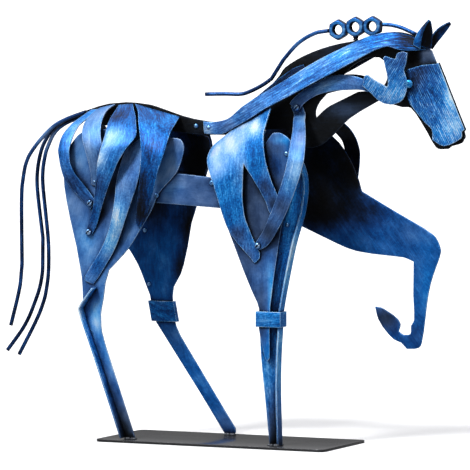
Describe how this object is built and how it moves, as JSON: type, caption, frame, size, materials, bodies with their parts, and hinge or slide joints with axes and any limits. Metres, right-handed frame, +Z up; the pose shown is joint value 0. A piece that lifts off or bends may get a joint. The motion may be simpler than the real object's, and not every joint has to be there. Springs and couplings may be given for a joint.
{
  "type": "horse sculpture",
  "caption": "Walking horse cut and bent from blue patinated sheet metal, with a raised foreleg and a rod mane and tail, on a thin dark base plate.",
  "frame": {"origin": "centre of the base plate's underside", "axes": "+X towards the head, +Y to the horse's left, +Z up"},
  "size_m": [0.382, 0.0816, 0.3215],
  "materials": {
    "blue_patina": "brushed cobalt blue patina with worn light highlights",
    "dark_patina": "satin blue black",
    "graphite": "semi gloss graphite",
    "bright_screw": "rubbed blue steel"
  },
  "bodies": {
    "root": {"base_plate": "graphite", "core_plate": "dark_patina", "right_hind_leg": "blue_patina", "left_hind_leg": "blue_patina", "right_hind_tendon": "blue_patina", "left_hind_tendon": "blue_patina", "right_hip_strip_1": "blue_patina", "right_hip_screw_1": "bright_screw", "right_hip_strip_2": "blue_patina", "right_hip_strip_3": "blue_patina", "right_hip_screw_3": "bright_screw", "right_hip_strip_4": "blue_patina", "right_hip_strip_5": "blue_patina", "left_hip_strip_1": "blue_patina", "left_hip_screw_1": "bright_screw", "left_hip_strip_2": "blue_patina", "left_hip_strip_3": "blue_patina", "left_hip_screw_3": "bright_screw", "left_hip_strip_4": "blue_patina", "left_hip_strip_5": "blue_patina", "right_belly_strip": "blue_patina", "left_belly_strip": "blue_patina", "right_shoulder_cover": "blue_patina", "right_fore_leg": "blue_patina", "left_fore_leg": "blue_patina", "right_fore_cuff": "blue_patina", "left_hind_cuff": "blue_patina", "right_shoulder_blade": "blue_patina", "left_shoulder_blade": "blue_patina", "left_shoulder_strip": "blue_patina", "right_shoulder_strip": "blue_patina", "right_chest_screw": "bright_screw", "right_neck_strip": "blue_patina", "right_withers_strip": "blue_patina", "right_throat_strip": "blue_patina", "right_throat_screw": "bright_screw", "left_neck_strip": "blue_patina", "left_withers_strip": "blue_patina", "left_throat_strip": "blue_patina", "left_throat_screw": "bright_screw", "right_cheek_plate": "blue_patina", "right_face_plate": "blue_patina", "right_cheek_rivet": "blue_patina", "left_cheek_plate": "blue_patina", "left_face_plate": "blue_patina", "left_cheek_rivet": "blue_patina", "right_ear": "blue_patina", "left_ear": "blue_patina", "mane_rod_rear": "blue_patina", "mane_rod_front": "blue_patina", "mane_nut_1": "blue_patina", "mane_nut_2": "blue_patina", "mane_nut_3": "blue_patina", "mane_post": "blue_patina", "tail_rod_1": "dark_patina", "tail_rod_2": "dark_patina", "tail_rod_3": "dark_patina"}
  },
  "joints": []
}
